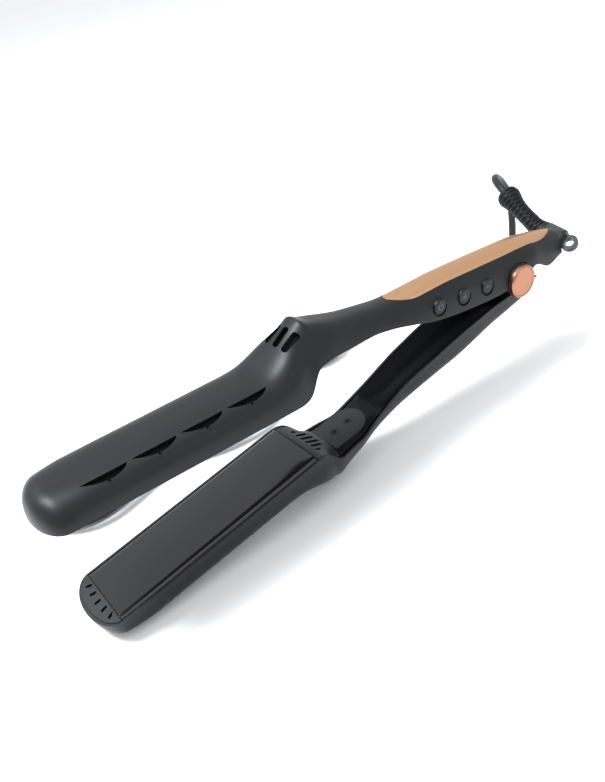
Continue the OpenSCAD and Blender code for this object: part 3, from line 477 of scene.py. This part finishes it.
# each table holds places along an arm with a value: half the width
half_t = [(-TAIL, HANDLE_HW - 4), (-30, HANDLE_HW - 1.6), (-10, HANDLE_HW - 0.2), (0, HANDLE_HW),
          (55, HANDLE_HW), (CREST - 64, HANDLE_HW - 0.6), (CREST - 46, NECK_HW), (CREST - 25, NECK_HW + 1.2),
          (CREST - 13, NECK_HW + 3), (CREST, BARREL_HW - 2.7), (REAR - 9, BARREL_HW - 1.7),
          (REAR - 5.5, BARREL_HW - 0.2), (REAR - 3.5, BARREL_HW), (FRONT + TIP, BARREL_HW)]
# height of the crown over the plane where the arms meet
barrel_t = [(CREST - 5, 30), (CREST, 33), (CREST + 4, 30), (REAR - 1, 23.5), (REAR + 5, 18.9),
            (REAR + 11, 15.8), (REAR + 17, 15.5), (FRONT - 8, 14), (FRONT, 13.3)]
crown_t = {"upper": [(-TAIL, 13.5), (-28, 16.3), (-6, 19.3), (17, 20.6), (50, 21.5), (CREST - 52, 20.5),
                     (CREST - 24, 24.5)] + barrel_t,
           "lower": [(0, 15.8), (24, 16.6), (45, 19.2), (64, 19.4), (CREST - 54, 20.6), (CREST - 40, 21.6),
                     (CREST - 26, 23.2)] + barrel_t}
# height of the rim
shoulder_t = [(CREST, EDGE + 12.3), (REAR - 11, EDGE + 9.8), (REAR - 8.5, EDGE + 4.8), (REAR - 5, EDGE + 1.3),
              (REAR, EDGE), (FRONT + TIP, EDGE)]
edge_t = {"upper": [(-TAIL, 2), (-35, 1.6), (-28, 0), (-23, 0.3), (-18, 3.5), (-13.5, 5.5), (-8, 4),
                    (8, -0.6), (17, -1), (27, -0.6), (46, 1.1), (60, 3), (CREST - 71, 4.2), (CREST - 62, 6.8),
                    (CREST - 50, 9.8), (CREST - 37, 12.2), (CREST - 19, 13), (CREST - 7, 14.2)] + shoulder_t,
          "lower": [(-15.4, 6.7), (-12, 2.4), (0, 2.8), (8, 3), (23, 1.8), (39, 2), (55, 2.6), (66, 3.8),
                    (CREST - 61, 4.7), (CREST - 50, 6.4), (CREST - 38, 9.2), (CREST - 27, 12),
                    (CREST - 17, 14.8), (CREST - 8, 13.8)] + shoulder_t}
# how far the sides lean in toward the top, as a share of the width
lean_t = [(-TAIL, 0.12), (50, 0.12), (CREST - 13, 0.3), (CREST, 0.45), (REAR - 10, 0.36), (REAR - 2, 0.03),
          (REAR - 0.5, 0)]
# how square the section is: 2 is an ellipse
square_t = {"upper": [(-TAIL, 2.4), (50, 2.5), (CREST - 50, 2.6), (CREST - 26, 3.1), (CREST - 8, 3.9),
                      (CREST - 2, 3.6), (CREST + 4, 2.7), (REAR + 10, 3.1)],
            "lower": [(-20, 3.2), (60, 3.2), (CREST - 20, 2.8), (CREST, 3), (REAR + 12, 4.5)]}


TIP_LEAN = 0.34


def lookup(u, table):
    """The table's value, straight from entry to entry."""
    if u <= table[0][0]:
        return table[0][1]
    for (a, va), (b, vb) in zip(table, table[1:]):
        if u <= b:
            return va + (vb - va) * (u - a) / (b - a)
    return table[-1][1]


def soft(u, table, reach, n=7):
    """The table's value, eased over about the reach as the source eases it, with more samples."""
    step = 1.73 * reach / n
    weights = [1 - abs(k) / n for k in range(-n, n + 1)]
    return sum(w * lookup(u + k * step, table) for k, w in zip(range(-n, n + 1), weights)) / sum(weights)


def ease(u, most=7):
    """The crest stays sharp, and what lies far from it is eased more."""
    return min(most, 0.8 + abs(u - CREST) / 3)


def half_w(u):
    return soft(u, half_t, ease(u))


def crown(arm, u):
    return soft(u, crown_t[arm], ease(u))


def edge(arm, u):
    return soft(u, edge_t[arm], ease(u, 2))


def round_off(u):
    """How much more the sides' tops lean in over the tip's last stretch."""
    return TIP_LEAN * max(0.0, min(1.0, (u - FRONT + 13) / (TIP + 11))) ** 1.6


def arch(arm, u, hw, low, high, steps):
    """A section from rim to rim over the crown: a squarish arch that leans in toward its top."""
    n, lean, tip_lean = soft(u, square_t[arm], ease(u, 4)), soft(u, lean_t, ease(u, 4)), round_off(u)
    ring = []
    for i in range(steps + 1):
        a = pi * i / steps
        s = abs(sin(a)) ** (2 / n) if 0 < i < steps else 0.0
        c = math.copysign(abs(cos(a)) ** (2 / n), cos(a))
        ring.append((u, hw * (1 - lean * s - tip_lean * s * s) * c, low + (high - low) * s))
    return ring


def crown_over(u, y):
    """Height of the upper arm's skin at a place."""
    n, lean, low = lookup(u, square_t["upper"]), lookup(u, lean_t), edge("upper", u)
    first = (1 - (abs(y) / (half_w(u) * (1 - lean))) ** n) ** (1 / n)
    return low + (crown("upper", u) - low) * (1 - (abs(y) / (half_w(u) * (1 - lean * first))) ** n) ** (1 / n)


def spaced(*stops):
    """Stations from stop to stop, each stretch at its own spacing."""
    out = [stops[0][0]]
    for (a, step), (b, _) in zip(stops, stops[1:]):
        n = max(1, round((b - a) / step))
        out += [a + (b - a) * k / n for k in range(1, n + 1)]
    return out


# ------------------------------ shells: hollow mouldings
STEPS = 46
END_ANGLES = (62, 57, 52, 46, 40, 34, 28, 21, 14, 7)
TIP_ANGLES = (9, 18, 27, 35, 43, 50, 56, 62, 67, 72, 76, 80, 83, 86)


def form(arm, inset, top, tip_inset):
    """An arm's sections, set in by a wall: the lower arm's round end, then handle to barrel, then the tip."""
    rings = []
    if arm == "lower":
        r = LOWER_END_R + HINGE_RISE - top
        for a in END_ANGLES:
            u = -r * sin(rad(a))
            hw = half_w(u) - inset - 1.4 * sin(rad(a)) ** 4
            rings.append(arch(arm, u, hw, edge(arm, u), r * cos(rad(a)) - HINGE_RISE, STEPS))
    handle = [(-TAIL, 1.5), (8, 3)] if arm == "upper" else [(0, 3)]
    for u in spaced(*handle, (70, 2), (CREST - 16, 1), (CREST - 4, 0.5), (CREST + 4, 1), (REAR + 4, 1.5),
                    (REAR + 20, 4), (FRONT - 12, 2), (FRONT, 1)):
        rings.append(arch(arm, u, half_w(u) - inset, edge(arm, u), crown(arm, u) - top, STEPS))
    for a in TIP_ANGLES:
        u, c = FRONT + (TIP - tip_inset) * sin(rad(a)), cos(rad(a))
        high = EDGE + (crown(arm, FRONT) - top - EDGE) * c ** 0.72
        rings.append(arch(arm, u, (BARREL_HW - inset) * c, EDGE, high, STEPS))
    return rings


def shell(arm):
    """Outer and inner skins, joined along the rim, round the rear end and at the tip."""
    outer, inner = form(arm, 0, 0, 0), form(arm, SIDE, WALL, WALL)
    n, m = STEPS + 1, len(outer)
    verts, faces = [], []
    for rings in (outer, inner):
        o = len(verts)
        verts += [p for ring in rings for p in ring]
        faces += [(o + a * n + i, o + a * n + i + 1, o + (a + 1) * n + i + 1, o + (a + 1) * n + i)
                  for a in range(m - 1) for i in range(n - 1)]
        faces.append(tuple(o + (m - 1) * n + i for i in range(n)))
    k = len(verts) // 2
    for a in range(m - 1):
        for e in (0, n - 1):
            faces.append((a * n + e, (a + 1) * n + e, k + (a + 1) * n + e, k + a * n + e))
    faces += [(i, i + 1, k + i + 1, k + i) for i in range(n - 1)]
    e = (m - 1) * n
    faces.append((e, e + n - 1, k + e + n - 1, k + e))
    return verts, faces


# ------------------------------ what is cut out of the upper shell
VENT_L, VENT_D = 20.5, 3.5
VENTS, FIRST_VENT, VENT_PITCH = 4, REAR + 23, 22.3
TOOTH_FROM, TOOTH_TO = -1.4, 0.2  # a small tooth on a vent's bowed side
NEAR_VENT, FAR_VENT = (-1, 11.4, 32), (1, 14.6, 46)  # side, distance from the middle, tilt
SLOT_U, SLOT_Z, SLOT_TILT = CREST + 8.3, 27, rad(35)
SLOT_L, SLOT_W, SLOT_R, SLOT_PITCH = 10.5, 4, 1.7, 6.4
HINGE_HOLE_R, HINGE_HOLE_IN = 9.7, 9.9  # the ears' bed in each side, and how far from the middle it reaches
FACE = HANDLE_HW - 0.35  # the keys' faces stand this far from the middle
KEY_U, KEY_Z, KEY_PITCH, KEY_SLOPE = 24.7, 7.2, 17.2, 0.072
KEY_PLACES = [(KEY_U + KEY_PITCH * i, 0, KEY_Z + KEY_PITCH * i * KEY_SLOPE) for i in range(3)]
KEY_HOLE = [(4.15, 0), (4.15, -FACE + 1.3), (4.75, -FACE + 1.1), (4.95, -FACE - 0.1), (4.95, -20)]
TRIM_END, TRIM_TIP, TRIM_W = 84.0, -37.5, 15.0
TRIM_ROUND, TRIM_TAPER = 16.0, -8.0  # length of its round front end, and where it starts to taper to the rear


def eyelid(n=24):
    """Straight above, bowed below, fullest toward the rear, with a small tooth."""
    tooth = [(TOOTH_FROM, VENT_D - 0.2), (TOOTH_FROM, VENT_D + 1), (TOOTH_TO, VENT_D + 1),
             (TOOTH_TO, VENT_D - 0.2)]
    before, after = [], []
    for k in range(n + 1):
        x = -VENT_L / 2 + VENT_L * k / n
        y = VENT_D * sin(pi * (k / n) ** 0.8) ** 0.85 if 0 < k < n else 0
        if x < TOOTH_FROM - 0.1:
            before.append((x, y))
        elif x > TOOTH_TO + 0.1:
            after.append((x, y))
    return before + tooth + after


def trim_half(u):
    """Half the inlay's width: round in front, drawn out to a blunt tip behind."""
    if u > TRIM_END - TRIM_ROUND:
        return TRIM_W / 2 * math.sqrt(max(0.02, 1 - ((u - TRIM_END + TRIM_ROUND) / TRIM_ROUND) ** 2))
    if u < TRIM_TAPER:
        return TRIM_W / 2 * max(0.08, 1 - ((TRIM_TAPER - u) / (TRIM_TAPER - TRIM_TIP)) ** 2.6) ** 0.66
    return TRIM_W / 2


def trim_strip(up, down, grow, across=14, soften=0.0):
    """The inlay, or the bed that is cut for it: a strip that follows the shell's skin."""
    rings = []
    for u in spaced((TRIM_TIP, 0.5), (TRIM_TIP + 5, 1.5), (TRIM_TAPER, 3), (TRIM_END - 18, 1.5),
                    (TRIM_END - 5, 0.5), (TRIM_END, 1)):
        w = trim_half(u) + grow
        us = u - grow if u == TRIM_TIP else u + grow if u == TRIM_END else u
        ys = [w * (2 * i / across - 1) for i in range(across + 1)]
        narrow = 1 - soften / max(w, 1)
        tops = [(us, y * narrow, crown_over(u, y) + up - (soften if i in (0, across) else 0.0))
                for i, y in enumerate(ys)]
        rings.append([(us, y, crown_over(u, y) - down) for y in ys] + tops[::-1])
    return skin(rings)


cuts = ([], [])
for side, y0, tilt in (NEAR_VENT, FAR_VENT):
    for i in range(VENTS):
        u = FIRST_VENT + VENT_PITCH * i
        verts, faces = prism(eyelid(), -2.6, 3.4, tilted(u, y0, crown_over(u, y0), about_x=-rad(tilt)))
        add(cuts, [(x, side * y, z) for x, y, z in verts], faces)
for i in (-1, 0, 1):
    slot_place = tilted(SLOT_U, SLOT_PITCH * i, SLOT_Z, about_y=SLOT_TILT)
    add(cuts, *prism(rounded(SLOT_L, SLOT_W, SLOT_R), -7, 7, slot_place))
for place in KEY_PLACES:
    add(cuts, *turned(KEY_HOLE, tilted(*place), 56))
for side in (-1, 1):
    hinge_hole = [(HINGE_HOLE_R, side * HINGE_HOLE_IN), (HINGE_HOLE_R, side * 20)]
    add(cuts, *turned(hinge_hole, tilted(0, 0, HINGE_RISE), 72))
add(cuts, *trim_strip(3, 0.8, 0.12))

# ------------------------------ upper moulding, inlay, and a dark sheet behind the slots as painted shade
top = piece("upper_moulding", *shell("upper"), "shell", "upper_arm", 30, "shell", upper)
cut(top, *cuts, 30, upper)
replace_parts(top, "upper_shell")
inlay = piece("handle_inlay", *trim_strip(0.15, 0.75, 0, soften=0.12), "trim", "upper_arm", 40, "trim", upper)
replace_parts(inlay, "handle_trim")
# painted shade: a dark sheet behind the crest's slots, so that they read dark like the shaded inside
slot_shade_sheet = prism(rounded(17, 21, 2), -7.8, -7.2, tilted(SLOT_U, 0, SLOT_Z, about_y=SLOT_TILT))
piece("slot_shade_baffle", *slot_shade_sheet, "shield", "upper_arm", 30, "shield", upper)


SHADE_SHEET_GAPS = (0.8, 1.2)  # its two faces, measured in from the shell's inner skin


def shade_sheet_section(u):
    """A section of the thin dark sheet under the barrel's skin, which shows through the vents: painted shade,
    put where the inside of the barrel lies in shade.
    """
    outer, inner = (arch("upper", u, half_w(u) - SIDE - gap, edge("upper", u), crown("upper", u) - WALL - gap,
                         STEPS)[5:-5] for gap in SHADE_SHEET_GAPS)
    return outer + inner[::-1]


# painted shade: a dark sheet just under the vents, so that they read black like the shaded inside
shade_sheet_rings = [shade_sheet_section(u) for u in spaced((REAR + 9, 1.5), (FRONT - 3, 1))]
piece("vent_shade_sheet", *skin(shade_sheet_rings), "shield", "upper_arm", 30, "shield", upper)

# ------------------------------ lower moulding and its hinge ears
EAR_IN, EAR_OUT = 10.2, 13.15
EAR_PROFILE = [(0.01, EAR_IN), (9.0, EAR_IN), (9.3, EAR_IN + 0.3), (9.3, EAR_OUT - 0.2), (9.1, EAR_OUT),
               (0.01, EAR_OUT)]
bottom = piece("lower_moulding", *shell("lower"), "shell", "lower_arm", 30, "shell", lower)
for side, name in ((-1, "ear_near"), (1, "ear_far")):
    disc = turned([(r, side * y) for r, y in EAR_PROFILE], tilted(0, 0, -HINGE_RISE))
    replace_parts(piece(name, *disc, "shell", "lower_arm", 30, "shell", lower), "lower_shell")
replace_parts(bottom, "lower_shell")

# ------------------------------ hinge caps: a bevelled rim round a shallow dish
CAP_PROFILE = [(6, 0), (8.95, 0), (9.0, 0.1), (9.0, 1.55), (8.85, 1.85), (8.2, 2.38), (7.95, 2.4),
               (7.75, 2.34), (7.5, 2.02), (7.2, 1.92), (4, 1.84), (1, 1.81)]
for side, node, name in ((-1, "near_cap", "hinge_cap_near"), (1, "far_cap", "hinge_cap_far")):
    disc = turned([(r, side * (EAR_OUT + y)) for r, y in CAP_PROFILE], tilted(0, 0, -HINGE_RISE), 96)
    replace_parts(piece(name, *disc, "cap", "lower_arm", 24, "cap", lower), node)

# ------------------------------ keys: dished, with minus, plus and power marks
KEY_PROFILE = [(0.01, -5.85), (1.6, -5.85), (1.6, -8.7), (4.4, -8.7), (4.4, -9.2), (4.0, -9.25),
               (4.0, -FACE + 0.75), (3.9, -FACE + 0.4), (3.65, -FACE + 0.16), (3.35, -FACE + 0.06),
               (2.9, -FACE + 0.04), (1.6, -FACE + 0.1), (0.6, -FACE + 0.13)]
MARK_Y = -FACE + 0.18  # the marks' inner faces, sunk in the key


def on_key(p):
    """Stands a form's base on the key's face."""
    return (p[0], MARK_Y - p[2], p[1])


def bar(turn, height):
    """A short stroke with round ends, turned about the key's middle."""
    c, s = cos(turn), sin(turn)
    return prism([(x * c - z * s, x * s + z * c) for x, z in rounded(2.9, 0.5, 0.225, 4)], 0, height, on_key)


def arc_band(r0, r1, a0, a1, height, n=26):
    """A flat open ring from angle to angle."""
    angles = [rad(a0 + (a1 - a0) * k / n) for k in range(n + 1)]
    outer = [(r1 * cos(a), r1 * sin(a)) for a in angles]
    inner = [(r0 * cos(a), r0 * sin(a)) for a in angles[::-1]]
    verts = [on_key((x, z, h)) for h in (0, height) for x, z in outer + inner]
    m = 2 * n + 2
    faces = []
    for k in range(n):
        a, b = k, m - 1 - k
        faces += [(a, a + 1, b - 1, b), (m + a, m + b, m + b - 1, m + a + 1)]
    return verts, faces + [(k, (k + 1) % m, m + (k + 1) % m, m + k) for k in range(m)]


def power_mark():
    mark = ([], [])
    add(mark, *arc_band(1.25, 1.75, 125, 415, 0.2))
    add(mark, *prism([(-0.25, 0.2), (0.25, 0.2), (0.25, 2.1), (-0.25, 2.1)], 0, 0.2, on_key))
    return mark


def plus_mark():
    mark = ([], [])
    add(mark, *bar(0, 0.16))
    add(mark, *bar(pi / 2, 0.165))
    return mark


key_marks = {"minus": bar(0, 0.16), "plus": plus_mark(), "power": power_mark()}
for place, (name, (verts, faces)) in zip(KEY_PLACES, key_marks.items()):
    body, move = name + "_key", tilted(*place, about_y=-math.atan(KEY_SLOPE))
    key = piece("key_" + body, *turned(KEY_PROFILE, move, 56), "button", body, 26, "button", upper)
    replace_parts(key, name + "_button")
    piece("mark_" + body, [move(p) for p in verts], faces, "mark", body, 30, "button", upper)

# ------------------------------ boot on the swivel: moulded ribs, swollen end
BOOT_TILT = rad(12)
BOOT_STEPS, BOOT_SIDES = 200, 40
BOOT_R, BOOT_WAIST, BOOT_SWELL = 5.45, 0.75, 1.25  # root radius, how far it narrows, how far its end swells
BOOT_RIBS, RIBS_FROM, RIBS_TO, RIB_DEPTH = 11, 0.08, 0.9, 0.62  # from and to are shares of the boot's length
boot_axis = Vector((0, cos(BOOT_TILT), sin(BOOT_TILT)))
boot_root = Vector((-TAIL - 5.5, 0, 7.8)) + 5.05 * boot_axis
boot_way = [(0, 7, 7 * math.tan(BOOT_TILT)), (0, 12.8, 4.9), (-0.2, 18.5, 8.4), (-0.7, 23.3, 11.4),
            (-1.5, 27.6, 13.8), (-2.7, 31.9, 15.6)]
boot_knots = [boot_root - 5 * boot_axis, boot_root] + [boot_root + Vector(d) for d in boot_way]


def spline(p, t):
    """A smooth curve through the points, with one point to the unit of t."""
    k = min(int(t), len(p) - 2)
    f, a, b, c, d = t - k, p[max(k - 1, 0)], p[k], p[k + 1], p[min(k + 2, len(p) - 1)]
    square, cube = 2 * a - 5 * b + 4 * c - d, 3 * b - a - 3 * c + d
    return 0.5 * (2 * b + (c - a) * f + square * f * f + cube * f ** 3)


def tube(points, radius, sides):
    """Rings round a path, carried along it without twist."""
    rings, normal = [], Vector((1, 0, 0))
    for i, p in enumerate(points):
        way = (points[min(i + 1, len(points) - 1)] - points[max(i - 1, 0)]).normalized()
        normal = (normal - way * normal.dot(way)).normalized()
        other = way.cross(normal)
        turns = [2 * pi * k / sides for k in range(sides)]
        rings.append([p + radius(i, k) * (cos(a) * normal + sin(a) * other) for k, a in enumerate(turns)])
    return rings


def boot_radius(i, k):
    """Ribs in two interlocked rows, a bare root, and a plain swollen collar at the far end."""
    t, a = i / BOOT_STEPS, 2 * pi * k / BOOT_SIDES
    swell = max(0.0, 1 - abs(t - 0.87) / 0.32) ** 1.6
    r = BOOT_R - BOOT_WAIST * sin(pi * min(1, t / 0.8)) + BOOT_SWELL * swell
    if RIBS_FROM < t < RIBS_TO:
        offset = 0.5 if cos(2 * a) > 0 else 0.0
        ribs_passed = (t - RIBS_FROM) / (RIBS_TO - RIBS_FROM) * BOOT_RIBS + offset
        groove = min(1, max(0, (abs(ribs_passed % 1 - 0.5) * 2 - 0.42) * 6))
        r -= RIB_DEPTH * groove * min(1, abs(cos(2 * a)) * 8 + 0.25)
    if t > RIBS_TO:
        r -= 1.5 * max(0, (t - 0.93) / 0.07) ** 2.4
    return r


boot_path = [spline(boot_knots, 1 + (len(boot_knots) - 2) * i / BOOT_STEPS) for i in range(BOOT_STEPS + 1)]
boot_rings = tube(boot_path, boot_radius, BOOT_SIDES)
boot = piece("cord_boot", *skin(boot_rings), "boot", "upper_arm", 40, "boot", upper)
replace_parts(boot, "strain_relief")

# ------------------------------ the other pieces
FINISHED = (  # node, material, body, softened edge, slot
    ("upper_frame", "frame", "upper_arm", 0.12, "frame"),
    ("lower_frame", "frame", "lower_arm", 0.12, "frame"),
    ("upper_cover", "cover", "upper_arm", 0, "inner_cover"),
    ("lower_channel", "cover", "lower_arm", 0, "inner_cover"),
    ("neck_panel", "frame", "lower_arm", 0.25, "inner_cover"),
    ("swivel_collar", "swivel", "upper_arm", 0, "swivel"),
    ("swivel_barrel", "swivel", "swivel", 0.3, "swivel"),
    ("upper_plate", "plate", "upper_plate_body", 0.15, "plate"),
    ("lower_plate", "plate", "lower_plate_body", 0.15, "plate"),
    ("upper_screws", "screw", "upper_arm", 0, "screw"),
    ("panel_screws", "screw", "lower_arm", 0, "screw"),
    ("hinge_spring", "steel", "upper_arm", 0, "spring"))
HIDDEN = {"upper_heater": "heater", "lower_heater": "heater", "upper_clip": "clip", "lower_clip": "clip",
          "upper_cushions": "cushion", "lower_cushions": "cushion", "upper_shield": "shield",
          "lower_shield": "shield", "control_board": "board", "switches": "switch", "hinge_pin": "steel"}
for row in FINISHED:
    dressed(*row)
for node, mat in HIDDEN.items():
    o = NODES[node]
    for s in o.material_slots:
        s.material = M[mat]
    if not o.material_slots:
        o.data.materials.append(M[mat])

# ------------------------------ floor and light
pale_floor = material("pale_floor", (0.93, 0.93, 0.93, 1), 0.85, spread=0.01, scale=4, spec=0.15)
FLOOR_Z = -0.0002  # in metres: just under the part
floor_mesh = bpy.data.meshes.new("floor")
floor_corners = [(x, y, FLOOR_Z) for x, y in ((-3, -3), (4, -3), (4, 5), (-3, 5))]
floor_mesh.from_pydata(floor_corners, [], [(0, 1, 2, 3)])
floor_mesh.materials.append(pale_floor)
floor = bpy.data.objects.new("floor", floor_mesh)
scene.collection.objects.link(floor)

world = bpy.data.worlds.new("studio")
world.use_nodes = True
background = world.node_tree.nodes["Background"]
background.inputs["Color"].default_value = (0.96, 0.98, 1.0, 1)
background.inputs["Strength"].default_value = 0.97
scene.world = world


def softbox(name, at, target, size, power, colour=(1, 1, 1)):
    """A soft rectangular light that looks at its target. Places and sizes are in metres."""
    light = bpy.data.lights.new(name, "AREA")
    light.shape = "RECTANGLE"
    light.size, light.size_y = size
    light.energy = power
    light.color = colour
    o = bpy.data.objects.new(name, light)
    scene.collection.objects.link(o)
    o.location = at
    o.rotation_mode = "QUATERNION"
    o.rotation_quaternion = (Vector(target) - Vector(at)).to_track_quat("-Z", "Y")


softbox("overhead", (-0.1, 0.15, 1.5), (0, 0.05, 0), (1.8, 1.2), 5)
softbox("high_left", (-0.52, 0.385, 1.08), (-0.06, 0, 0.04), (0.42, 0.42), 22, (0.86, 0.94, 1.0))
softbox("front_fill", (0.5, -1.2, 0.8), (0.05, 0, 0.03), (1.0, 0.8), 1.5)

# ------------------------------ the end
bpy.context.view_layer.update()
